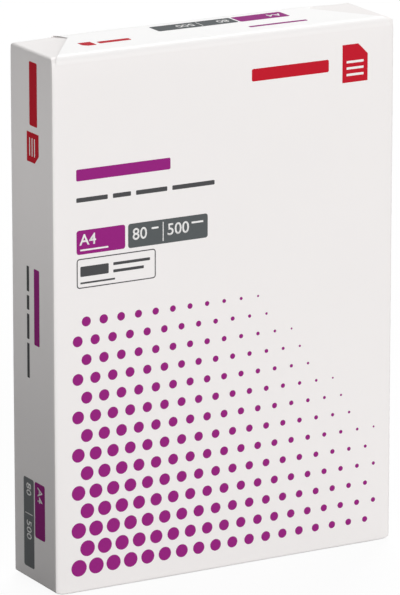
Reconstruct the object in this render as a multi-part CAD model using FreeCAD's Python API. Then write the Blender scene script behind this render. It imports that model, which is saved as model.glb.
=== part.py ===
"""A sealed ream of office paper, standing on one end.

Five hundred loose sheets in one glued wrapper can't be seen into, so the pack is one solid.
X runs across the sheets, Y through the stack from the front face to the back, and Z along
the sheets. The origin is under the middle of the pack, on the surface it stands on.
All sizes are in millimetres.
"""
import FreeCAD
import Part

import math
import os

# The stack of sheets
sheet_width = 210.0
sheet_length = 297.0
sheet_count = 500
sheet_thickness = 0.100

# The wrapper: one sheet of coated paper, and the air that it leaves round the stack
wrapper_thickness = 0.12
side_slack = 0.38
face_slack = 0.03
end_slack = 0.15

# The edges. The sheets have crisp corners, so the wrapper turns tightly round them. It is slack
# only at the upper end, where the large flaps fold over the front and back faces.
upright_edge_radius = 1.5
side_end_radius = 2.0
upper_end_radius = 4.5
lower_end_radius = 1.5

# The envelope fold of each end: the side panels go in first, then the back flap, and the
# front flap is glued down over both. Each flap's slanted sides are folded double. A gap is
# the distance from a side of the pack to where a slanted side leaves the hinge edge, and an
# inset is the distance from a side of the pack to the flap's free corner.
flap_plies = 2
front_flap_depth = 44.0
front_flap_gap = 2.5
front_flap_inset = 33.0
back_flap_depth = 30.0
back_flap_gap = 24.0
back_flap_inset = 44.0

# The glued overlap along the middle of the back face, with one free edge
seam_overlap = 25.0
seam_ramp = 3.0

node_name = "wrapped_ream"


def rounded_section(low, high, low_radius, high_radius):
    """A rectangle with rounded corners in the XY plane, as a face.

    The two corners at the lower Y have one radius, and the two at the higher Y have another.
    """
    (x0, y0), (x1, y1) = low, high
    centres = [
        (x1 - low_radius, y0 + low_radius, low_radius),
        (x1 - high_radius, y1 - high_radius, high_radius),
        (x0 + high_radius, y1 - high_radius, high_radius),
        (x0 + low_radius, y0 + low_radius, low_radius),
    ]
    corners = []
    for quarter, (x, y, radius) in enumerate(centres):
        angles = [math.radians(90 * quarter - 90 + part) for part in (0, 45, 90)]
        corners.append([
            FreeCAD.Vector(x + radius * math.cos(a), y + radius * math.sin(a), 0) for a in angles
        ])
    edges = []
    last = corners[-1][-1]
    for corner in corners:
        edges.append(Part.LineSegment(last, corner[0]).toShape())
        edges.append(Part.Arc(*corner).toShape())
        last = corner[-1]
    return Part.Face(Part.Wire(edges))


def soft_slab(y_range, z_range):
    """As wide as the pack, with the end edges of the front and back faces."""
    (y0, y1), (z0, z1) = y_range, z_range
    slab = rounded_section((y0, z0), (y1, z1), lower_end_radius, upper_end_radius)
    slab.rotate(FreeCAD.Vector(), FreeCAD.Vector(1, 1, 1), 120)
    slab.translate(FreeCAD.Vector(-pack_width / 2, 0, 0))
    return slab.extrude(FreeCAD.Vector(pack_width, 0, 0))


def rounded_block(y_range, z_range):
    """The slab with the edges of its sides rounded too.

    Three rounded sections cross each other, so the corners keep the faint mitre lines that
    paper has where two folded edges meet.
    """
    (y0, y1), (z0, z1) = y_range, z_range
    half = pack_width / 2
    upright = rounded_section((-half, y0), (half, y1), upright_edge_radius, upright_edge_radius)
    upright.translate(FreeCAD.Vector(0, 0, z0))
    upright = upright.extrude(FreeCAD.Vector(0, 0, z1 - z0))

    across = rounded_section((-half, z0), (half, z1), side_end_radius, side_end_radius)
    across.rotate(FreeCAD.Vector(), FreeCAD.Vector(1, 0, 0), 90)
    across.translate(FreeCAD.Vector(0, y1, 0))
    across = across.extrude(FreeCAD.Vector(0, y0 - y1, 0))
    return soft_slab(y_range, z_range).common(across).common(upright)


def upright_prism(outline, bottom, top):
    """A solid with this outline in plan, from the bottom height to the top one."""
    points = [FreeCAD.Vector(x, y, bottom) for x, y in outline]
    face = Part.Face(Part.makePolygon(points + points[:1]))
    return face.extrude(FreeCAD.Vector(0, 0, top - bottom))


def flap_outline(edge_y, depth, gap, inset):
    """A flap in plan: wide at its hinge edge, and narrower at its free edge."""
    hinge = pack_width / 2 - gap
    free = pack_width / 2 - inset
    return [(-hinge, edge_y), (hinge, edge_y), (free, edge_y + depth), (-free, edge_y + depth)]


def end_flaps(level, outline):
    """The same flap on both ends, at this height above the folded side panels."""
    reach = 2 * upper_end_radius + level
    low, high = panel_low - level, panel_high + level
    slab = soft_slab((front_y, back_y), (low, high))
    low_flap = slab.common(upright_prism(outline, low, low + reach))
    high_flap = slab.common(upright_prism(outline, high - reach, high))
    return [low_flap, high_flap]


def back_seam():
    """The overlap on the back face: a crisp free edge, and a slope over the edge below it."""
    ends = (panel_low - back_flap_level, panel_high + back_flap_level)
    slab = soft_slab((front_y, seam_y), ends)
    free_edge = seam_overlap / 2
    buried_edge = -seam_overlap / 2
    inside_y = back_y - upper_end_radius
    outline = [
        (free_edge, inside_y),
        (free_edge, seam_y),
        (buried_edge, seam_y),
        (buried_edge - seam_ramp, back_y),
        (buried_edge - seam_ramp, inside_y),
    ]
    return slab.common(upright_prism(outline, 0, pack_height))


# The levels that the folded layers reach, worked out from the stack and the wrapper
pack_width = sheet_width + 2 * (side_slack + wrapper_thickness)
stack_thickness = sheet_count * sheet_thickness
body_thickness = stack_thickness + 2 * (face_slack + wrapper_thickness)
pack_thickness = body_thickness + wrapper_thickness
front_y = -pack_thickness / 2
back_y = front_y + body_thickness
seam_y = front_y + pack_thickness

flap_step = flap_plies * wrapper_thickness
back_flap_level = flap_step
front_flap_level = 2 * flap_step
panel_low = front_flap_level
panel_high = panel_low + sheet_length + 2 * (end_slack + wrapper_thickness)
pack_height = panel_high + front_flap_level

os.makedirs("parts", exist_ok=True)

ream = rounded_block((front_y, back_y), (panel_low, panel_high))
back_flap = flap_outline(back_y, -back_flap_depth, back_flap_gap, back_flap_inset)
front_flap = flap_outline(front_y, front_flap_depth, front_flap_gap, front_flap_inset)
layers = end_flaps(back_flap_level, back_flap) + end_flaps(front_flap_level, front_flap)
layers.append(back_seam())
ream = ream.multiFuse(layers).removeSplitter()

box = ream.BoundBox
print(f"{node_name}: {len(ream.Solids)} solid, valid {ream.isValid()}")
print(f"width {box.XLength:.2f}, thickness {box.YLength:.2f}, height {box.ZLength:.2f}")
print(f"volume {ream.Volume / 1000:.1f} cm3")
ream.Solids[0].exportStep(f"parts/{node_name}.step")
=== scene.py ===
"""The looks of a sealed ream of office paper that stands on its lower end.

X runs across the sheets, Y from the front face through the stack and Z up along the sheets,
in metres. The wrapper is one mesh: a soft-edged block whose end flaps and back overlap are
raised by the folded layers, with the gentle relief of paper pulled round a stack. The print
is thin films of ink that lie on the wrapper.
"""

import logging
import math
from contextlib import contextmanager
from dataclasses import dataclass, field
from enum import Enum
from typing import Callable, Iterator

import bmesh
import bpy
from mathutils import Matrix, Vector, noise


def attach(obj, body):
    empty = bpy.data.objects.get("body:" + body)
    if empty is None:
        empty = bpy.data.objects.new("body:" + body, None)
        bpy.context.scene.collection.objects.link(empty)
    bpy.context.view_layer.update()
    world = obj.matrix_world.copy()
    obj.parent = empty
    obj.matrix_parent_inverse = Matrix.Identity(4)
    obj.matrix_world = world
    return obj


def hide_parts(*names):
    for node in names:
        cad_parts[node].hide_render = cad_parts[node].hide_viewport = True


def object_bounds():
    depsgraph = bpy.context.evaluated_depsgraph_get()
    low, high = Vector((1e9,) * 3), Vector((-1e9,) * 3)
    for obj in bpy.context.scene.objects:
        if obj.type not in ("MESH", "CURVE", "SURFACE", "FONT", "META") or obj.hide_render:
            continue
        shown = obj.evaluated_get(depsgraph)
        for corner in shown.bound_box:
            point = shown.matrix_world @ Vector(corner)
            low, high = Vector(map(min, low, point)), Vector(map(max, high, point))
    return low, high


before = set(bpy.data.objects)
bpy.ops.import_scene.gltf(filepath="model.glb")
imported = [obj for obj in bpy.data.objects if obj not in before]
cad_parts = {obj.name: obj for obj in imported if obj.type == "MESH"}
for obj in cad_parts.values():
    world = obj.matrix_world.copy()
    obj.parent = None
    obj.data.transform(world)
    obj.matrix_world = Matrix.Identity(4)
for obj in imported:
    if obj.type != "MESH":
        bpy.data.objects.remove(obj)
CAD_LOW, CAD_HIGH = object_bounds()

MM = 0.001
NODE = "wrapped_ream"
BODY = "root"
# A cut snaps to a vertex that is this near.
CUT_SNAP = 0.02 * MM
# A face counts as part of an end or of the back when its normal turns that way by this share.
FACING_SHARE = 0.02
# The cells of print on the narrow faces.
SMALL_CELL = 3 * MM
FLAP_MARK = "flap"
# The attribute by which the flaps and the back overlap are painted whiter; on the flaps this is mostly
# painted light, so the side panels read as shaded.
DOUBLED_AND_PAINTED_LIGHT = "doubled_and_painted_light"
log = logging.getLogger("ream")

FaceTest = Callable[[bmesh.types.BMFace], bool]
Point = tuple[float, float]
Shade = tuple[float, float, float] | bpy.types.NodeSocket


def select_only(*objects: bpy.types.Object) -> None:
    """Selects these objects and nothing else, the first one active."""
    bpy.ops.object.select_all(action="DESELECT")
    for each in objects:
        each.select_set(True)
    bpy.context.view_layer.objects.active = objects[0]


@contextmanager
def edit_mode(obj: bpy.types.Object) -> Iterator[None]:
    """Holds an object in edit mode, in face select mode."""
    select_only(obj)
    bpy.ops.object.mode_set(mode="EDIT")
    bpy.ops.mesh.select_mode(type="FACE")
    yield
    bpy.ops.object.mode_set(mode="OBJECT")


def pick_faces(obj: bpy.types.Object, test: FaceTest) -> int:
    """Selects the faces of an edited mesh that pass a test.

    Args:
        obj: The object in edit mode.
        test: Says whether a face is wanted.

    Returns:
        How many faces are selected.
    """
    mesh = bmesh.from_edit_mesh(obj.data)
    count = 0
    for face in mesh.faces:
        wanted = test(face)
        face.select_set(wanted)
        count += wanted
    mesh.select_flush_mode()
    bmesh.update_edit_mesh(obj.data)
    return count


def cut(obj: bpy.types.Object, point: Vector, normal: Vector, test: FaceTest | None = None) -> None:
    """Cuts the picked faces along a plane, and keeps both sides.

    Args:
        obj: The object in edit mode.
        point: A point on the plane.
        normal: The plane's normal.
        test: Says which faces are cut. None cuts them all.
    """
    if test is None:
        bpy.ops.mesh.select_all(action="SELECT")
    else:
        pick_faces(obj, test)
    bpy.ops.mesh.bisect(plane_co=point, plane_no=normal.normalized(), threshold=CUT_SNAP)


def stations(low: float, high: float, spacing: float) -> list[float]:
    """Evenly spaced places between two ends, without the ends.

    Args:
        low: The first end.
        high: The second end.
        spacing: The largest step allowed.

    Returns:
        The places in order.
    """
    count = max(1, math.ceil((high - low) / spacing))
    return [low + (high - low) * i / count for i in range(1, count)]


def along_axis(axis: int) -> Vector:
    """The unit vector along an axis, from its number."""
    return Vector([float(i == axis) for i in range(3)])


def soft_noise(place: Vector) -> float:
    """Smooth noise from 0 to 1."""
    return 0.5 + 0.5 * noise.noise(place)


def apply_modifiers(obj: bpy.types.Object) -> None:
    """Applies every modifier of an object in order."""
    select_only(obj)
    for modifier in list(obj.modifiers):
        bpy.ops.object.modifier_apply(modifier=modifier.name)


class Ink(Enum):
    """The colours of print on the pack, as linear red, green and blue. The side's grey is a paler copy of
    the grey, painted lighter for the shaded side.
    """

    PURPLE = (0.306, 0.022, 0.210)
    GREY = (0.105, 0.115, 0.118)
    # A paler copy of the grey ink for the left side, which lies in shade: painted light.
    SIDE_GREY_PAINTED_LIGHT = (0.180, 0.190, 0.195)
    TEXT_GREY = (0.080, 0.080, 0.083)
    RED = (0.540, 0.015, 0.030)
    WHITE = (0.860, 0.850, 0.840)


@dataclass(frozen=True)
class CoatedPaper:
    """White coated wrapping paper: a faint cloudiness, a fine tooth and a satin sheen.

    The end flaps are painted whiter than the single sheet round the stack. A little of that
    is the doubled paper, through which less shows; most is painted light, against which the
    side panels between the flaps read as shaded.
    """

    colour: tuple[float, float, float] = (0.880, 0.852, 0.842)
    cloud_colour: tuple[float, float, float] = (0.866, 0.838, 0.829)
    # Painted light: the flaps take this whiter colour, and the single side panels beside them look shaded
    # against it.
    doubled_and_painted_light_colour: tuple[float, float, float] = (0.955, 0.950, 0.945)
    cloud_size: float = 38 * MM
    fibre_size: float = 0.45 * MM
    fibre_depth: float = 0.012 * MM
    cockle_size: float = 9 * MM
    cockle_depth: float = 0.05 * MM
    roughness: tuple[float, float] = (0.40, 0.52)
    gloss: float = 0.26

    def material(self) -> bpy.types.Material:
        """Builds the material, whose patterns read Object coordinates."""
        made = bpy.data.materials.new("coated_wrapper_paper")
        made.use_nodes = True
        tree = made.node_tree
        shader = tree.nodes["Principled BSDF"]
        shader.inputs["Specular IOR Level"].default_value = self.gloss
        place = tree.nodes.new("ShaderNodeTexCoord").outputs["Object"]
        cloud = add_noise(tree, place, self.cloud_size, detail=3.0)
        single = add_mix(tree, cloud, self.colour, self.cloud_colour)
        # The flaps, marked by this attribute, are painted whiter: painted light, with a small share from
        # the doubled paper.
        layers = tree.nodes.new("ShaderNodeAttribute")
        layers.attribute_name = DOUBLED_AND_PAINTED_LIGHT
        paper = add_mix(tree, layers.outputs["Fac"], single, self.doubled_and_painted_light_colour)
        tree.links.new(paper, shader.inputs["Base Color"])
        satin = add_range(tree, add_noise(tree, place, self.cockle_size, detail=2.0), self.roughness)
        tree.links.new(satin, shader.inputs["Roughness"])
        cockle = add_bump(tree, add_noise(tree, place, self.cockle_size, detail=1.0), self.cockle_depth)
        fibre = add_bump(tree, add_noise(tree, place, self.fibre_size, detail=4.0), self.fibre_depth)
        tree.links.new(cockle.outputs["Normal"], fibre.inputs["Normal"])
        tree.links.new(fibre.outputs["Normal"], shader.inputs["Normal"])
        return made


@dataclass(frozen=True)
class PrintedInk:
    """Offset print on coated paper: a solid colour with a faint mottle and its own gloss."""

    ink: Ink
    mottle_size: float = 1.4 * MM
    mottle: float = 0.06
    roughness: tuple[float, float] = (0.34, 0.46)
    gloss: float = 0.01

    def material(self) -> bpy.types.Material:
        """Builds the material, whose patterns read Object coordinates."""
        made = bpy.data.materials.new(f"print_{self.ink.name.lower()}")
        made.use_nodes = True
        tree = made.node_tree
        shader = tree.nodes["Principled BSDF"]
        shader.inputs["Specular IOR Level"].default_value = self.gloss
        place = tree.nodes.new("ShaderNodeTexCoord").outputs["Object"]
        mottle = add_noise(tree, place, self.mottle_size, detail=3.0)
        darker = tuple(c * (1 - self.mottle) for c in self.ink.value)
        lighter = tuple(c * (1 + self.mottle) for c in self.ink.value)
        tree.links.new(add_mix(tree, mottle, darker, lighter), shader.inputs["Base Color"])
        tree.links.new(add_range(tree, mottle, self.roughness), shader.inputs["Roughness"])
        return made


def add_noise(
    tree: bpy.types.NodeTree, place: bpy.types.NodeSocket, size: float, detail: float
) -> bpy.types.NodeSocket:
    """Adds a noise pattern.

    Args:
        tree: The material's node tree.
        place: The coordinates it reads.
        size: About the width of one blotch, in metres.
        detail: How many finer layers it has.

    Returns:
        The socket that gives the noise, from 0 to 1.
    """
    node = tree.nodes.new("ShaderNodeTexNoise")
    node.inputs["Scale"].default_value = 1 / size
    node.inputs["Detail"].default_value = detail
    tree.links.new(place, node.inputs["Vector"])
    return node.outputs["Fac"]


def add_mix(
    tree: bpy.types.NodeTree, factor: bpy.types.NodeSocket, first: Shade, second: Shade
) -> bpy.types.NodeSocket:
    """Mixes two colours.

    Args:
        tree: The material's node tree.
        factor: The share of the second colour.
        first: A colour, or the socket that gives it.
        second: The same.

    Returns:
        The socket that gives the mixed colour.
    """
    node = tree.nodes.new("ShaderNodeMix")
    node.data_type = "RGBA"
    for name, shade in (("A", first), ("B", second)):
        if isinstance(shade, bpy.types.NodeSocket):
            tree.links.new(shade, node.inputs[name])
        else:
            node.inputs[name].default_value = (*shade, 1)
    tree.links.new(factor, node.inputs["Factor"])
    return node.outputs["Result"]


def add_range(
    tree: bpy.types.NodeTree, value: bpy.types.NodeSocket, limits: tuple[float, float]
) -> bpy.types.NodeSocket:
    """Maps a value from 0 to 1 into a range.

    Args:
        tree: The material's node tree.
        value: The value to map.
        limits: What 0 and 1 become.

    Returns:
        The socket that gives the mapped value.
    """
    node = tree.nodes.new("ShaderNodeMapRange")
    node.inputs["To Min"].default_value = limits[0]
    node.inputs["To Max"].default_value = limits[1]
    tree.links.new(value, node.inputs["Value"])
    return node.outputs["Result"]


def add_bump(
    tree: bpy.types.NodeTree, height: bpy.types.NodeSocket, depth: float
) -> bpy.types.ShaderNodeBump:
    """Adds a bump.

    Args:
        tree: The material's node tree.
        height: The pattern that is its height, from 0 to 1.
        depth: How deep the pattern is, in metres.

    Returns:
        The bump node.
    """
    node = tree.nodes.new("ShaderNodeBump")
    node.inputs["Distance"].default_value = depth
    tree.links.new(height, node.inputs["Height"])
    return node


@dataclass(frozen=True)
class Flap:
    """An end flap in plan, measured from the pack's sides and from its hinge edge.

    The gap is how far from a side a slanted side leaves the hinge edge, and the inset is how
    far from a side the free corner lies.
    """

    depth: float
    gap: float
    inset: float

    def inside(self, from_side: float, from_hinge: float) -> float:
        """How far inside the flap a point lies.

        Args:
            from_side: The point's distance from the nearer side of the pack.
            from_hinge: Its distance from the hinge edge.

        Returns:
            The distance to the nearest free edge, negative outside the flap.
        """
        run = Vector((self.inset - self.gap, self.depth)).normalized()
        from_slant = (from_side - self.gap) * run.y - from_hinge * run.x
        return min(from_slant, self.depth - from_hinge)


@dataclass(frozen=True)
class PackForm:
    """The levels and edges of the wrapped stack, in plan and along its height."""

    half_width: float
    front: float
    back: float
    floor: float
    roof: float
    upright_radius: float = 1.5 * MM
    side_radius: float = 2.0 * MM
    upper_front_radius: float = 4.5 * MM
    upper_back_radius: float = 3.0 * MM
    lower_radius: float = 1.5 * MM

    def from_side(self, point: Vector) -> float:
        """A point's distance from the nearer side."""
        return self.half_width - abs(point.x)

    def is_upper(self, point: Vector) -> bool:
        """Whether a point lies in the upper half."""
        return point.z > (self.floor + self.roof) / 2

    def middle(self) -> Vector:
        """The middle of the block."""
        return Vector((0, (self.front + self.back) / 2, (self.floor + self.roof) / 2))

    def size(self) -> Vector:
        """The size of the block."""
        return Vector((2 * self.half_width, self.back - self.front, self.roof - self.floor))


@dataclass(frozen=True)
class PaperRelief:
    """How paper that is pulled round a stack of sheets lies a little inside the plain block."""

    form: PackForm
    wave_size: float = 75 * MM
    wave_depth: float = 0.24 * MM
    sheet_line_size: float = 11 * MM
    sheet_line_length: float = 160 * MM
    sheet_line_depth: float = 0.10 * MM
    face_shoulder: Point = (7.5 * MM, 0.85 * MM)
    side_shoulder: Point = (5 * MM, 0.14 * MM)
    end_shoulder: Point = (13 * MM, 0.42 * MM)
    slack_shoulder: Point = (15 * MM, 0.9 * MM)
    pleat_size: float = 9 * MM
    pleat_length: float = 120 * MM
    pleat_reach: float = 22 * MM
    pleat_depth: float = 0.07 * MM

    def settle(self, obj: bpy.types.Object) -> None:
        """Moves the block's vertices to where the paper lies."""
        moves = [self._move(vertex.co, vertex.normal) for vertex in obj.data.vertices]
        for vertex, move in zip(obj.data.vertices, moves):
            vertex.co += move

    def _move(self, place: Vector, out: Vector) -> Vector:
        """How the paper moves at a point of the block.

        Args:
            place: The point.
            out: The outward direction there.

        Returns:
            The move.
        """
        form = self.form
        from_side = form.from_side(place)
        from_face = min(place.y - form.front, form.back - place.y)
        from_end = min(place.z - form.floor, form.roof - place.z)
        wave = self.wave_depth * soft_noise(place / self.wave_size)
        across = abs(out.x) * (self._sheet_line(place) + shoulder(from_face, self.side_shoulder))
        slack = shoulder(form.roof - place.z, self.slack_shoulder)
        through = abs(out.y) * (
            shoulder(from_side, self.face_shoulder) + self._pleat(place, from_end) + slack
        )
        along = abs(out.z) * shoulder(from_side, self.end_shoulder)
        return -out * wave - Vector(
            (math.copysign(across, out.x), math.copysign(through, out.y), math.copysign(along, out.z))
        )

    def _sheet_line(self, place: Vector) -> float:
        """The depth of the faint lines that the sheets' edges press into the sides."""
        stretched = Vector((place.x, place.y / self.sheet_line_size, place.z / self.sheet_line_length))
        return self.sheet_line_depth * soft_noise(stretched)

    def _pleat(self, place: Vector, from_end: float) -> float:
        """The depth of the small pull lines that run from the folded ends into the large faces."""
        stretched = Vector((place.x / self.pleat_size, place.y, place.z / self.pleat_length))
        fading = max(0.0, 1 - from_end / self.pleat_reach) ** 2
        return self.pleat_depth * soft_noise(stretched) * fading


def shoulder(distance: float, shape: Point) -> float:
    """How far a surface falls away as it nears an edge.

    Args:
        distance: The distance from the edge.
        shape: How far from the edge the fall starts, and its depth at the edge.

    Returns:
        The depth at that distance.
    """
    reach, depth = shape
    return depth * max(0.0, 1.0 - distance / reach) ** 2


class Layer(Enum):
    """The flaps of a folded end. A face without such a mark lies in a side panel."""

    BACK_FLAP = 1
    FRONT_FLAP = 2


@dataclass
class EndFold:
    """The envelope fold of one end: side panels first, then the back flap, then the front flap."""

    form: PackForm
    upper: bool
    step: float
    front_flap: Flap = Flap(depth=44 * MM, gap=2.5 * MM, inset=33 * MM)
    back_flap: Flap = Flap(depth=30 * MM, gap=24 * MM, inset=44 * MM)
    dish_depth: float = 0.55 * MM
    dish_reach: float = 12 * MM
    ear_lift: float = 0.50 * MM
    ear_reach: float = 7 * MM
    ear_overhang: float = 0.5 * MM
    ear_hinge: float = 2 * MM
    ear_sheet: float = 0.08 * MM
    ear_slot: float = 1.6 * MM
    ear_slot_share: float = 0.3
    ear_wall_slope: float = 0.8
    ear_wall_facing: float = 0.5
    ear_open_share: float = 0.55

    def is_end(self, face: bmesh.types.BMFace) -> bool:
        """Whether a face belongs to this end or to the turned edge round it."""
        slope = face.normal.z if self.upper else -face.normal.z
        return slope > FACING_SHARE

    def inside_front(self, place: Vector) -> float:
        """How far inside the front flap a point lies."""
        return self.front_flap.inside(self.form.from_side(place), place.y - self.form.front)

    def inside_back(self, place: Vector) -> float:
        """How far inside the back flap a point lies."""
        return self.back_flap.inside(self.form.from_side(place), self.form.back - place.y)

    def cut_outlines(self, obj: bpy.types.Object) -> None:
        """Cuts the outlines of both flaps into the end.

        Args:
            obj: The block, in edit mode.
        """
        form = self.form
        free_y = form.front + self.front_flap.depth
        cut(obj, Vector((0, free_y, 0)), Vector((0, 1, 0)), self.is_end)
        for flap, hinge, inwards in ((self.front_flap, form.front, 1), (self.back_flap, form.back, -1)):
            for side in (-1, 1):
                start = Vector((side * (form.half_width - flap.gap), hinge, 0))
                run = Vector((-side * (flap.inset - flap.gap), inwards * flap.depth, 0))

                def on_side(face: bmesh.types.BMFace) -> bool:
                    """Whether a face of the end lies on this side of the pack."""
                    return face.calc_center_median().x * side > 0 and self.is_end(face)

                cut(obj, start, run.cross(Vector((0, 0, 1))), on_side)
        self._mark_flaps(obj)

    def _mark_flaps(self, obj: bpy.types.Object) -> None:
        """Notes on each face of the end which flap it lies in, before the paper is settled.

        Args:
            obj: The block, in edit mode.
        """
        mesh = bmesh.from_edit_mesh(obj.data)
        marks = mesh.faces.layers.int.get(FLAP_MARK) or mesh.faces.layers.int.new(FLAP_MARK)
        for face in mesh.faces:
            if not self.is_end(face):
                continue
            place = face.calc_center_median()
            if self.inside_front(place) > 0:
                face[marks] = Layer.FRONT_FLAP.value
            elif self.inside_back(place) > 0:
                face[marks] = Layer.BACK_FLAP.value
        bmesh.update_edit_mesh(obj.data)

    def sink_panels(self, obj: bpy.types.Object) -> None:
        """Lets the side panels sag a little beside the flaps that hold them.

        Args:
            obj: The block, in edit mode.
        """
        mesh = bmesh.from_edit_mesh(obj.data)
        for vertex in mesh.verts:
            place = vertex.co
            faces_out = vertex.normal.z if self.upper else -vertex.normal.z
            past = -max(self.inside_front(place), self.inside_back(place))
            if faces_out > 0 and past > 0:
                sag = self.dish_depth * min(1.0, past / self.dish_reach) * self._in_panel(place)
                place.z += sag * faces_out * (-1 if self.upper else 1)

    def _in_panel(self, place: Vector) -> float:
        """How much of the sag a point takes: none at the side's edge, all further in."""
        return 1.0 - max(0.0, 1.0 - self.form.from_side(place) / self.dish_reach) ** 2

    def raise_flaps(self, obj: bpy.types.Object) -> None:
        """Raises both flaps, and then the front one again, since it lies over the back one.

        Args:
            obj: The block, in edit mode.
        """
        step = self.step if self.upper else -self.step
        self._pick_layers(obj, (Layer.BACK_FLAP, Layer.FRONT_FLAP))
        bpy.ops.mesh.extrude_region_move(TRANSFORM_OT_translate={"value": (0, 0, step)})
        # Paints the flaps lighter than the side panels: painted light.
        self._note_doubled_and_painted_light(obj)
        if self.upper:
            self._lift_ear(obj)
        self._pick_layers(obj, (Layer.FRONT_FLAP,))
        bpy.ops.mesh.extrude_region_move(TRANSFORM_OT_translate={"value": (0, 0, step)})

    def _pick_layers(self, obj: bpy.types.Object, layers: tuple[Layer, ...]) -> None:
        """Selects the faces of this end that lie in some of its layers."""
        wanted = {layer.value for layer in layers}
        marks = bmesh.from_edit_mesh(obj.data).faces.layers.int[FLAP_MARK]
        pick_faces(obj, lambda face: face[marks] in wanted and self.is_end(face))

    def _note_doubled_and_painted_light(self, obj: bpy.types.Object) -> None:
        """Notes on the raised vertices how far the paper is doubled and painted lighter: not on the
        turned edge. The lighter flaps are painted light, so the side panels beside them read as shaded.

        Args:
            obj: The block, in edit mode, with the raised faces selected.
        """
        mesh = bmesh.from_edit_mesh(obj.data)
        doubled_and_painted_light = mesh.verts.layers.float.get(DOUBLED_AND_PAINTED_LIGHT) or mesh.verts.layers.float.new(DOUBLED_AND_PAINTED_LIGHT)
        for vertex in mesh.verts:
            if vertex.select:
                from_hinge = min(vertex.co.y - self.form.front, self.form.back - vertex.co.y)
                vertex[doubled_and_painted_light] = min(1.0, max(0.0, from_hinge / self.form.upper_front_radius))
        bmesh.update_edit_mesh(obj.data)

    def _lift_ear(self, obj: bpy.types.Object) -> None:
        """Lifts the back flap's folded edge off the left side panel, with a dark slot under it.

        Args:
            obj: The block, in edit mode, with the raised faces selected.
        """
        mesh = bmesh.from_edit_mesh(obj.data)
        for vertex in mesh.verts:
            place = vertex.co
            if vertex.select and place.x < 0 and self.inside_front(place) < 0:
                share = self._ear_share(place)
                place.z += self.ear_lift * share
                place += self._ear_outwards() * self.ear_overhang * share
        mesh.normal_update()

        def under_ear(face: bmesh.types.BMFace) -> bool:
            """Whether a face is part of the wall under the lifted edge."""
            place = face.calc_center_median()
            faces_out = face.normal.dot(self._ear_outwards()) > self.ear_wall_facing
            steep = abs(face.normal.z) < self.ear_wall_slope
            near = abs(self.inside_back(place)) < self.ear_overhang
            lifted = place.x < 0 and self._ear_share(place) > self.ear_open_share
            return faces_out and steep and near and lifted

        if pick_faces(obj, under_ear):
            bpy.ops.mesh.inset(thickness=self.ear_sheet)
            inwards = self._ear_outwards() * -self.ear_slot
            bpy.ops.mesh.extrude_region_move(TRANSFORM_OT_translate={"value": inwards})
            mesh = bmesh.from_edit_mesh(obj.data)
            inner = [vertex for vertex in mesh.verts if vertex.select]
            lowest = min(vertex.co.z for vertex in inner)
            for vertex in inner:
                vertex.co.z = lowest + (vertex.co.z - lowest) * self.ear_slot_share

    def _ear_outwards(self) -> Vector:
        """The direction from the back flap out over its left slanted side."""
        run = Vector((self.back_flap.inset - self.back_flap.gap, -self.back_flap.depth, 0)).normalized()
        return Vector((run.y, -run.x, 0))

    def _ear_share(self, place: Vector) -> float:
        """How much of the ear's lift a point takes.

        Args:
            place: A point of the back flap, or beside it.

        Returns:
            One at the slanted side, and less further in, by the hinge and by the front flap.
        """
        inwards = min(1.0, max(0.0, 1.0 - self.inside_back(place) / self.ear_reach)) ** 2
        from_hinge = min(1.0, max(0.0, (self.form.back - place.y) / self.ear_hinge))
        from_cover = min(1.0, max(0.0, -self.inside_front(place) / self.ear_hinge))
        return inwards * from_hinge * from_cover


@dataclass
class BackSeam:
    """The glued overlap along the back face: a crisp free edge, and a slope over the buried one.

    Two sheets lie on each other there, so the strip looks a little whiter than the rest.
    """

    form: PackForm
    step: float
    overlap: float = 25 * MM
    ramp: float = 3 * MM
    whiter_share: float = 0.55
    same_place: float = 0.01 * MM
    weld: float = 0.001 * MM

    def raise_overlap(self, obj: bpy.types.Object) -> None:
        """Raises the overlap.

        Args:
            obj: The block, in edit mode.
        """
        free_edge, ramp_top = self.overlap / 2, -self.overlap / 2
        ramp_foot = ramp_top - self.ramp
        for place in (free_edge, ramp_top, ramp_foot):
            cut(obj, Vector((place, 0, 0)), Vector((1, 0, 0)), self._is_back)

        def in_overlap(face: bmesh.types.BMFace) -> bool:
            """Whether a face lies in the overlap."""
            return ramp_foot < face.calc_center_median().x < free_edge and self._is_back(face)

        pick_faces(obj, in_overlap)
        bpy.ops.mesh.extrude_region_move(TRANSFORM_OT_translate={"value": (0, self.step, 0)})
        mesh = bmesh.from_edit_mesh(obj.data)
        doubled_and_painted_light = mesh.verts.layers.float[DOUBLED_AND_PAINTED_LIGHT]
        for vertex in mesh.verts:
            if vertex.select and abs(vertex.co.x - ramp_foot) < self.same_place:
                vertex.co.y -= self.step
            elif vertex.select:
                vertex[doubled_and_painted_light] = max(vertex[doubled_and_painted_light], self.whiter_share)
        bpy.ops.mesh.select_all(action="SELECT")
        bpy.ops.mesh.remove_doubles(threshold=self.weld)

    def _is_back(self, face: bmesh.types.BMFace) -> bool:
        """Whether a face belongs to the back face or to the turned edges at its ends."""
        near = face.calc_center_median().y > self.form.back - self.form.upper_front_radius
        return near and face.normal.y > FACING_SHARE


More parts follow.
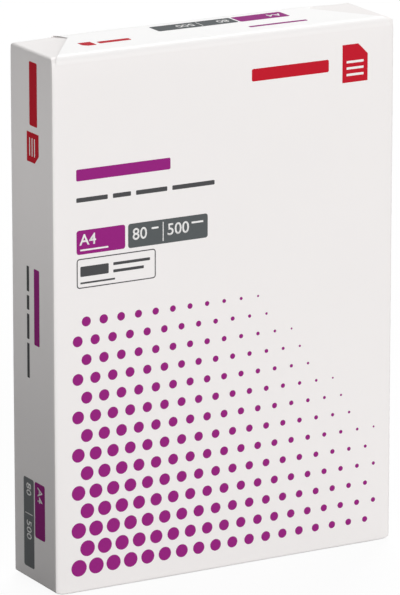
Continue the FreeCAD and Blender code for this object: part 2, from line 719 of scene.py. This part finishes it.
@dataclass
class Wrapper:
    """The paper round the stack, with its folded ends and its overlap on the back."""

    low: Vector
    high: Vector
    side_room: float = 0.10 * MM
    end_room: float = 0.28 * MM
    fold_step: float = 0.26 * MM
    seam_step: float = 0.13 * MM
    bevel_segments: int = 7
    grid: float = 4 * MM
    support: float = 0.8 * MM
    smooth_angle: float = math.radians(32)

    def build(self) -> bpy.types.Object:
        """Models the wrapper.

        Returns:
            The finished object, in place of the plain solid.
        """
        form = PackForm(
            half_width=self.high.x - self.side_room,
            front=self.low.y + self.side_room,
            back=self.high.y - self.side_room - self.seam_step,
            floor=self.low.z + 2 * self.fold_step,
            roof=self.high.z - self.end_room - 2 * self.fold_step,
        )
        obj = self._add_block(form)
        ends = [EndFold(form, upper, self.fold_step) for upper in (True, False)]
        with edit_mode(obj):
            self._cut_grid(obj, form)
            for end in ends:
                end.cut_outlines(obj)
        PaperRelief(form).settle(obj)
        with edit_mode(obj):
            for end in ends:
                end.sink_panels(obj)
                end.raise_flaps(obj)
            BackSeam(form, self.seam_step).raise_overlap(obj)
        self._dress(obj)
        return obj

    def _add_block(self, form: PackForm) -> bpy.types.Object:
        """Adds the block inside the folded ends and turns its edges.

        Args:
            form: The block's levels and edges.

        Returns:
            The block.
        """
        bpy.ops.object.select_all(action="DESELECT")
        bpy.ops.mesh.primitive_cube_add(size=1, location=form.middle(), scale=form.size())
        obj = bpy.context.object
        obj.name = "paper_wrapper"
        bpy.ops.object.transform_apply(location=True, rotation=True, scale=True)
        weights = obj.data.attributes.new("bevel_weight_edge", "FLOAT", "EDGE")
        largest = form.upper_front_radius
        for edge in obj.data.edges:
            start, end = (obj.data.vertices[i].co for i in edge.vertices)
            weights.data[edge.index].value = self._radius(form, start, end) / largest
        bevel = obj.modifiers.new("turned edges", "BEVEL")
        bevel.limit_method = "WEIGHT"
        bevel.width = largest
        bevel.segments = self.bevel_segments
        apply_modifiers(obj)
        return obj

    def _radius(self, form: PackForm, start: Vector, end: Vector) -> float:
        """The radius of one edge of the block.

        Args:
            form: The block's levels and edges.
            start: One end of the edge.
            end: The other end.

        Returns:
            The radius.
        """
        middle = (start + end) / 2
        if abs(start.z - end.z) > form.upright_radius:
            return form.upright_radius
        if abs(start.y - end.y) > form.side_radius:
            return form.side_radius
        if not form.is_upper(middle):
            return form.lower_radius
        return form.upper_front_radius if middle.y < 0 else form.upper_back_radius

    def _cut_grid(self, obj: bpy.types.Object, form: PackForm) -> None:
        """Cuts the faces into small cells, with a narrow row beside each turned edge.

        Args:
            obj: The block, in edit mode.
            form: The block's levels and edges.
        """
        low = form.middle() - form.size() / 2
        high = form.middle() + form.size() / 2
        low_insets = (form.side_radius, form.upper_front_radius, form.side_radius)
        high_insets = (form.side_radius, form.upper_front_radius, form.upper_front_radius)
        for axis in range(3):
            normal = along_axis(axis)
            first = low[axis] + low_insets[axis] + self.support
            last = high[axis] - high_insets[axis] - self.support
            for place in [first, *stations(first, last, self.grid), last]:
                cut(obj, normal * place, normal)

    def _dress(self, obj: bpy.types.Object) -> None:
        """Shades the wrapper softly, gives it its paper and puts it in the solid's place."""
        select_only(obj)
        bpy.ops.object.shade_smooth_by_angle(angle=self.smooth_angle)
        obj.data.materials.clear()
        obj.data.materials.append(CoatedPaper().material())
        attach(obj, BODY)
        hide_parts(NODE)


@dataclass(frozen=True)
class Panel:
    """A face of the pack as a sheet to print on.

    A place on it is in metres to the right of its origin and above it, as its print reads.
    """

    name: str
    origin: Vector
    right: Vector
    up: Vector

    def matrix(self) -> Matrix:
        """The transform from the flat sheet to the pack. Its third axis points out of the face."""
        out = self.right.cross(self.up)
        turned = Matrix((self.right, self.up, out)).transposed().to_4x4()
        return Matrix.Translation(self.origin) @ turned

    def project_axis(self) -> str:
        """The letter of the axis along which ink is laid on this panel."""
        out = self.right.cross(self.up)
        return "xyz"[max(range(3), key=lambda i: abs(out[i]))]


@dataclass
class PrintJob:
    """One colour of print on one panel: flat shapes that are joined and laid on the wrapper.

    The places and sizes of the shapes are in millimetres.
    """

    panel: Panel
    ink: Ink
    label: str
    layer: int = 0
    film: float = 0.03 * MM
    cell: float = 5 * MM
    corner_segments: int = 5
    cap_share: float = 0.70
    curve_steps: int = 4
    shapes: list[bpy.types.Object] = field(default_factory=list)

    def bar(self, low: Point, high: Point, radius: float = 0.0) -> None:
        """Adds a bar with rounded corners.

        Args:
            low: Its lower left corner.
            high: Its upper right corner.
            radius: The radius of its corners.
        """
        self._add_plane(low, high)
        if radius:
            self._round_corners(radius)

    def frame(self, low: Point, high: Point, radius: float, line: float) -> None:
        """Adds the outline of a box with rounded corners.

        Args:
            low: Its lower left corner.
            high: Its upper right corner.
            radius: The radius of its corners.
            line: The width of its line.
        """
        self._add_plane(low, high)
        self._round_corners(radius)
        with edit_mode(self.shapes[-1]):
            bpy.ops.mesh.select_all(action="SELECT")
            bpy.ops.mesh.inset(thickness=line * MM)
            bpy.ops.mesh.delete(type="FACE")

    def dots(self, places: list[tuple[float, float, float]], sides: int = 28) -> None:
        """Adds round dots, modelled once and copied.

        Args:
            places: Each dot's middle and diameter.
            sides: How many sides the round outline has.
        """
        bpy.ops.mesh.primitive_circle_add(vertices=sides, radius=0.5, fill_type="NGON")
        first = bpy.context.object
        for x, y, diameter in places:
            dot = first.copy()
            dot.data = first.data.copy()
            dot.data.transform(Matrix.Diagonal((diameter * MM, diameter * MM, 1, 1)))
            dot.data.transform(Matrix.Translation(Vector((x, y, 0)) * MM))
            bpy.context.collection.objects.link(dot)
            self.shapes.append(dot)
        bpy.data.objects.remove(first)

    def numerals(self, text: str, low: Point, height: float, weight: float) -> None:
        """Adds plain numerals.

        Args:
            text: The characters.
            low: The lower left corner of the line.
            height: The height of a numeral.
            weight: How much each stroke is widened.
        """
        bpy.ops.object.text_add(location=Vector((low[0], low[1], 0)) * MM)
        line = bpy.context.object
        line.data.body = text
        line.data.size = height * MM / self.cap_share
        line.data.offset = weight * MM
        line.data.resolution_u = self.curve_steps
        select_only(line)
        bpy.ops.object.convert(target="MESH")
        made = bpy.context.object
        bpy.ops.object.transform_apply(location=True, rotation=True, scale=True)
        self.shapes.append(made)

    def page(self, low: Point, high: Point, fold: Point) -> None:
        """Adds a page whose upper right corner is folded away.

        Args:
            low: Its lower left corner.
            high: Its upper right corner.
            fold: The width and the height of the folded corner.
        """
        (left, bottom), (right, top) = low, high
        folded = [(right, top - fold[1]), (right - fold[0], top)]
        corners = [(left, bottom), (right, bottom), *folded, (left, top)]
        mesh = bpy.data.meshes.new("page")
        mesh.from_pydata([(x * MM, y * MM, 0) for x, y in corners], [], [range(len(corners))])
        made = bpy.data.objects.new("page", mesh)
        bpy.context.collection.objects.link(made)
        self.shapes.append(made)

    def _add_plane(self, low: Point, high: Point) -> None:
        """Adds a plain rectangle to the shapes.

        Args:
            low: Its lower left corner.
            high: Its upper right corner.
        """
        middle = Vector(((low[0] + high[0]) / 2, (low[1] + high[1]) / 2, 0)) * MM
        size = Vector((high[0] - low[0], high[1] - low[1], 1 / MM)) * MM
        bpy.ops.mesh.primitive_plane_add(size=1, location=middle)
        made = bpy.context.object
        made.scale = size
        select_only(made)
        bpy.ops.object.transform_apply(location=True, rotation=True, scale=True)
        self.shapes.append(made)

    def _round_corners(self, radius: float) -> None:
        """Rounds the corners of the last shape."""
        with edit_mode(self.shapes[-1]):
            bpy.ops.mesh.select_all(action="SELECT")
            bpy.ops.mesh.bevel(offset=radius * MM, segments=self.corner_segments, affect="VERTICES")

    def lay_on(self, wrapper: bpy.types.Object) -> None:
        """Joins the shapes, cuts them into cells and lays them on the wrapper as a film.

        Args:
            wrapper: The wrapper's object.
        """
        select_only(*self.shapes)
        if len(self.shapes) > 1:
            bpy.ops.object.join()
        made = bpy.context.view_layer.objects.active
        made.name = f"{self.panel.name}_{self.label}"
        self._cut_cells(made)
        made.data.transform(self.panel.matrix())
        self._add_film(made, wrapper)
        made.data.materials.clear()
        made.data.materials.append(PrintedInk(self.ink).material())
        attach(made, BODY)
        log.info("%s: %d faces", made.name, len(made.data.polygons))

    def _cut_cells(self, made: bpy.types.Object) -> None:
        """Cuts the flat shapes into cells small enough to follow the paper.

        Args:
            made: The joined shapes.
        """
        with edit_mode(made):
            for axis in range(2):
                along = [vertex.co[axis] for vertex in bmesh.from_edit_mesh(made.data).verts]
                normal = along_axis(axis)
                first = math.floor(min(along) / self.cell) * self.cell
                for place in stations(first, max(along) + self.cell, self.cell):
                    cut(made, normal * place, normal)

    def _add_film(self, made: bpy.types.Object, wrapper: bpy.types.Object) -> None:
        """Presses the shapes on the wrapper and gives them their thickness.

        Args:
            made: The cut shapes, in front of the panel.
            wrapper: The wrapper's object.
        """
        press = made.modifiers.new("press on", "SHRINKWRAP")
        press.target = wrapper
        press.wrap_method = "PROJECT"
        press.wrap_mode = "ABOVE_SURFACE"
        for letter in "xyz":
            setattr(press, f"use_project_{letter}", letter == self.panel.project_axis())
        press.use_negative_direction = True
        press.use_positive_direction = True
        press.offset = self.film * (0.5 + self.layer)
        film = made.modifiers.new("film", "SOLIDIFY")
        film.thickness = self.film
        film.offset = 1.0
        apply_modifiers(made)


@dataclass(frozen=True)
class DotPattern:
    """Rows of dots that shrink upwards and to the right, in millimetres."""

    start: float = 14.0
    right_limit: float = 202.0
    pitch: float = 10.6
    rows: int = 14
    columns: int = 18
    largest: float = 9.4
    smallest: float = 1.0
    lean: float = math.radians(40)
    reach: float = 190.0
    fade: float = 0.8

    def places(self) -> list[tuple[float, float, float]]:
        """Lays out the dots from the lower left corner on.

        Returns:
            Each dot's middle and diameter, in millimetres.
        """
        places = []
        for row in range(self.rows):
            for column in range(self.columns):
                right, up = self.pitch * (column + 0.5 * (row % 2)), self.pitch * row
                along = (right * math.cos(self.lean) + up * math.sin(self.lean)) / self.reach
                diameter = self.largest * (1.0 - along) ** self.fade if along < 1.0 else 0.0
                if diameter >= self.smallest and self.start + right < self.right_limit:
                    places.append((self.start + right, self.start + up, diameter))
        return places


@dataclass
class PanelPrint:
    """The print of one panel, with a job for each colour."""

    panel: Panel
    cell: float = SMALL_CELL

    def build(self, wrapper: bpy.types.Object) -> None:
        """Draws every colour, and then lays them on the wrapper."""
        for job in self.jobs():
            job.lay_on(wrapper)

    def jobs(self) -> list[PrintJob]:
        """The drawn colours, in the order in which they are laid on."""
        raise NotImplementedError

    def job(self, ink: Ink, label: str, layer: int = 0) -> PrintJob:
        """Starts one colour of this panel. The layer is the number of films under it."""
        return PrintJob(self.panel, ink, label, layer, cell=self.cell)


@dataclass
class FrontPrint(PanelPrint):
    """The print of the front face, in millimetres from its lower left corner."""

    cell: float = 5 * MM
    left: float = 13.7

    def jobs(self) -> list[PrintJob]:
        """The drawn colours of the front."""
        return [self._purple(), self._grey_field(), self._grey_lines(), self._red(), self._white()]

    def _purple(self) -> PrintJob:
        """The title bar, the size field and the pattern of dots."""
        job = self.job(Ink.PURPLE, "purple_print")
        job.bar((self.left, 229.4), (70.9, 235.8), 0.9)
        job.bar((self.left, 189.0), (43.2, 202.3), 1.5)
        job.dots(DotPattern().places())
        return job

    def _grey_field(self) -> PrintJob:
        """The field for the weight and the count."""
        job = self.job(Ink.GREY, "grey_field")
        job.bar((45.0, 188.8), (93.8, 202.2), 1.5)
        return job

    def _grey_lines(self) -> PrintJob:
        """The plain bars below the title and the outlined box with its bars."""
        job = self.job(Ink.TEXT_GREY, "grey_lines")
        for start, end in ((self.left, 32.7), (35.8, 46.8), (49.9, 68.9), (72.0, 98.0)):
            job.bar((start, 217.7), (end, 220.2), 0.5)
        job.frame((self.left, 170.3), (61.8, 186.7), 1.8, 0.60)
        job.bar((15.9, 176.7), (33.1, 182.3), 0.6)
        job.bar((35.9, 180.7), (58.3, 182.3), 0.3)
        job.bar((35.9, 176.7), (54.5, 178.3), 0.3)
        job.bar((15.9, 172.7), (36.9, 173.7), 0.2)
        return job

    def _red(self) -> PrintJob:
        """A plain red bar and a page with a folded corner."""
        job = self.job(Ink.RED, "red_print")
        job.bar((121.0, 271.7), (169.1, 278.6), 1.0)
        job.page((177.7, 264.5), (193.7, 285.6), fold=(6.0, 6.0))
        return job

    def _white(self) -> PrintJob:
        """The plain numerals and the thin divider in the fields, and the lines on the page."""
        job = self.job(Ink.WHITE, "white_numerals", layer=1)
        job.numerals("A4", (15.6, 194.1), 6.0, 0.12)
        job.bar((15.9, 190.9), (32.9, 191.8), 0.2)
        job.numerals("80", (47.5, 193.1), 6.4, 0.10)
        job.bar((59.3, 197.7), (63.5, 198.7), 0.2)
        job.bar((66.1, 190.2), (66.6, 200.8))
        job.numerals("500", (68.7, 193.1), 6.4, 0.10)
        job.bar((83.8, 197.7), (91.0, 198.7), 0.2)
        for height in (268.1, 271.7, 275.2):
            job.bar((180.3, height), (191.1, height + 1.3), 0.3)
        return job


@dataclass
class SidePrint(PanelPrint):
    """The print of the left side, which reads downwards, in millimetres from its upper end."""

    def jobs(self) -> list[PrintJob]:
        """The drawn colours of the side."""
        red = self.job(Ink.RED, "red_print")
        red.bar((7.3, 23.1), (42.2, 31.8), 0.9)
        red.page((45.9, 19.9), (62.3, 33.4), fold=(4.6, 4.6))
        purple = self.job(Ink.PURPLE, "purple_print")
        purple.bar((120.6, 26.5), (162.9, 32.6), 0.7)
        purple.bar((239.9, 25.5), (271.4, 37.2), 1.4)
        # The side's grey field takes the paler copy of the grey ink: painted light on the shaded side.
        grey = self.job(Ink.SIDE_GREY_PAINTED_LIGHT, "grey_field")
        grey.bar((239.9, 12.5), (290.5, 24.4), 1.4)
        lines = self.job(Ink.TEXT_GREY, "grey_lines")
        for start, end in ((120.6, 134.6), (136.9, 144.9), (147.2, 161.2), (163.5, 182.9)):
            lines.bar((start, 18.2), (end, 20.9), 0.4)
        white = self.job(Ink.WHITE, "white_numerals", layer=1)
        white.numerals("A4", (242.4, 29.0), 5.2, 0.10)
        white.numerals("80", (242.5, 16.0), 5.2, 0.08)
        white.bar((259.9, 14.2), (260.4, 22.8))
        white.numerals("500", (263.7, 16.0), 5.2, 0.08)
        for height in (22.7, 25.5, 28.2):
            white.bar((48.9, height), (58.9, height + 0.9), 0.2)
        return [red, purple, grey, lines, white]


@dataclass
class EndPrint(PanelPrint):
    """The print of the upper end, which reads from behind, in millimetres from its corner."""

    def jobs(self) -> list[PrintJob]:
        """The drawn colours of the end."""
        purple = self.job(Ink.PURPLE, "purple_print")
        purple.bar((49.2, 9.0), (80.0, 21.2), 1.2)
        purple.bar((46.6, 33.2), (82.6, 36.0), 0.4)
        grey = self.job(Ink.GREY, "grey_field")
        grey.bar((81.2, 9.0), (130.6, 21.0), 1.2)
        red = self.job(Ink.RED, "red_print")
        red.bar((153.2, 27.2), (172.4, 31.6), 0.6)
        red.page((175.4, 25.4), (183.0, 33.4), fold=(2.4, 2.6))
        white = self.job(Ink.WHITE, "white_numerals", layer=1)
        white.numerals("A4", (51.8, 12.6), 5.2, 0.10)
        white.numerals("80", (84.4, 12.4), 5.2, 0.08)
        white.bar((102.4, 10.8), (102.9, 19.4))
        white.numerals("500", (105.8, 12.4), 5.2, 0.08)
        return [purple, grey, red, white]


@dataclass(frozen=True)
class Lamp:
    """A square soft light that faces the pack: its place and side in metres, its power in watts."""

    name: str
    place: tuple[float, float, float]
    size: float
    power: float
    aim: tuple[float, float, float] = (0, 0, 0.15)

    def hang(self) -> None:
        """Adds the light."""
        light = bpy.data.lights.new(self.name, "AREA")
        light.size = self.size
        light.energy = self.power
        lamp = bpy.data.objects.new(self.name, light)
        place = Vector(self.place)
        lamp.location = place
        lamp.rotation_euler = (Vector(self.aim) - place).to_track_quat("-Z", "Y").to_euler()
        bpy.context.collection.objects.link(lamp)


@dataclass
class Stage:
    """A plain pale floor, and soft studio light that shows a colour about as it is written."""

    floor_size: float = 40.0
    floor_colour: tuple[float, float, float] = (0.27, 0.27, 0.27)
    shown_floor_share: float = 0.07
    shown_floor_glow: float = 0.93
    ambient: float = 0.13
    lamps: tuple[Lamp, ...] = (
        Lamp("front_light", (0.4, -6.9, 2.0), 3.0, 434.0),
        Lamp("high_light", (1.5, 2.3, 3.9), 2.0, 155.0),
        Lamp("left_light", (-0.32, 0.0, 0.27), 0.05, 0.138),
    )

    def build(self) -> None:
        """Lays the floor and hangs the light."""
        self._floor()
        self._world()
        for lamp in self.lamps:
            lamp.hang()

    def _floor(self) -> None:
        """Adds the floor. The camera sees it near white, with the pack's shadow on it."""
        bpy.ops.mesh.primitive_plane_add(size=self.floor_size, location=(0, 0, 0))
        floor = bpy.context.object
        floor.name = "floor"
        made = bpy.data.materials.new("pale_floor")
        made.use_nodes = True
        nodes, links = made.node_tree.nodes, made.node_tree.links
        nodes.clear()
        output = nodes.new("ShaderNodeOutputMaterial")
        plain = nodes.new("ShaderNodeBsdfDiffuse")
        plain.inputs["Color"].default_value = (*self.floor_colour, 1)
        shown = nodes.new("ShaderNodeBsdfDiffuse")
        shown.inputs["Color"].default_value = (*[self.shown_floor_share] * 3, 1)
        glow = nodes.new("ShaderNodeEmission")
        glow.inputs["Strength"].default_value = self.shown_floor_glow
        both = nodes.new("ShaderNodeAddShader")
        links.new(shown.outputs[0], both.inputs[0])
        links.new(glow.outputs[0], both.inputs[1])
        mix = nodes.new("ShaderNodeMixShader")
        links.new(self._seen(made.node_tree), mix.inputs["Fac"])
        links.new(plain.outputs[0], mix.inputs[1])
        links.new(both.outputs[0], mix.inputs[2])
        links.new(mix.outputs[0], output.inputs["Surface"])
        floor.data.materials.append(made)

    def _seen(self, tree: bpy.types.NodeTree) -> bpy.types.NodeSocket:
        """Whether a ray shows the backdrop itself, straight, in gloss or through glass.

        Args:
            tree: The node tree to add to.

        Returns:
            A socket that is 1 for such a ray, else 0.
        """
        path = tree.nodes.new("ShaderNodeLightPath")
        largest = path.outputs["Is Camera Ray"]
        for name in ("Is Glossy Ray", "Is Transmission Ray"):
            either = tree.nodes.new("ShaderNodeMath")
            either.operation = "MAXIMUM"
            tree.links.new(largest, either.inputs[0])
            tree.links.new(path.outputs[name], either.inputs[1])
            largest = either.outputs[0]
        return largest

    def _world(self) -> None:
        """Sets a white surround that gives only the ambient share of the light."""
        world = bpy.data.worlds.new("surround")
        bpy.context.scene.world = world
        world.use_nodes = True
        nodes, links = world.node_tree.nodes, world.node_tree.links
        nodes.clear()
        lit = nodes.new("ShaderNodeBackground")
        lit.inputs["Strength"].default_value = self.ambient
        shown = nodes.new("ShaderNodeBackground")
        for each in (lit, shown):
            each.inputs["Color"].default_value = (1, 1, 1, 1)
        mix = nodes.new("ShaderNodeMixShader")
        links.new(self._seen(world.node_tree), mix.inputs["Fac"])
        links.new(lit.outputs[0], mix.inputs[1])
        links.new(shown.outputs[0], mix.inputs[2])
        output = nodes.new("ShaderNodeOutputWorld")
        links.new(mix.outputs[0], output.inputs["Surface"])


@dataclass(frozen=True)
class PhotoCamera:
    """The camera, fitted to the outline of the pack in a picture of 400 x 595 pixels."""

    azimuth: float = -29.38
    elevation: float = 15.17
    distance: float = 2894.0 * MM
    aim_right: float = -2.08 * MM
    aim_up: float = -1.52 * MM
    focal_pixels: float = 5298.4
    picture_height_pixels: float = 595.0
    sensor_mm: float = 36.0

    def build(self, middle: Vector) -> None:
        """Places the camera.

        Args:
            middle: The middle of the pack's box.
        """
        turn, tilt = math.radians(self.azimuth), math.radians(self.elevation)
        back = Vector((math.sin(turn) * math.cos(tilt), -math.cos(turn) * math.cos(tilt), math.sin(tilt)))
        right = Vector((math.cos(turn), math.sin(turn), 0))
        up = back.cross(right)
        lens = bpy.data.cameras.new("photo_camera")
        lens.sensor_width = self.sensor_mm
        lens.lens = self.focal_pixels * self.sensor_mm / self.picture_height_pixels
        camera = bpy.data.objects.new("photo_camera", lens)
        aim = middle + right * self.aim_right + up * self.aim_up
        turned = Matrix((right, up, back)).transposed().to_4x4()
        camera.matrix_world = Matrix.Translation(aim + back * self.distance) @ turned
        bpy.context.collection.objects.link(camera)
        bpy.context.scene.camera = camera


def printed_panels() -> tuple[Panel, Panel, Panel]:
    """The three printed faces of the pack: the front, the left side and the upper end."""
    x, y, z = Vector((1, 0, 0)), Vector((0, 1, 0)), Vector((0, 0, 1))
    front = Panel("front", CAD_LOW.copy(), x, z)
    side = Panel("side", Vector((CAD_LOW.x, CAD_HIGH.y, CAD_HIGH.z)), -z, -y)
    end = Panel("end", CAD_HIGH.copy(), -x, -y)
    return front, side, end


def main() -> None:
    """Builds the pack, its print, the stage and the camera, in that order."""
    logging.basicConfig(level=logging.INFO, format="%(name)s %(message)s")
    bpy.context.scene.view_settings.view_transform = "Standard"
    wrapper = Wrapper(CAD_LOW, CAD_HIGH).build()
    log.info("%s: %d faces", wrapper.name, len(wrapper.data.polygons))
    front, side, end = printed_panels()
    FrontPrint(front).build(wrapper)
    SidePrint(side).build(wrapper)
    EndPrint(end).build(wrapper)
    Stage().build()
    PhotoCamera().build((CAD_LOW + CAD_HIGH) / 2)


if __name__ == "__main__":
    main()
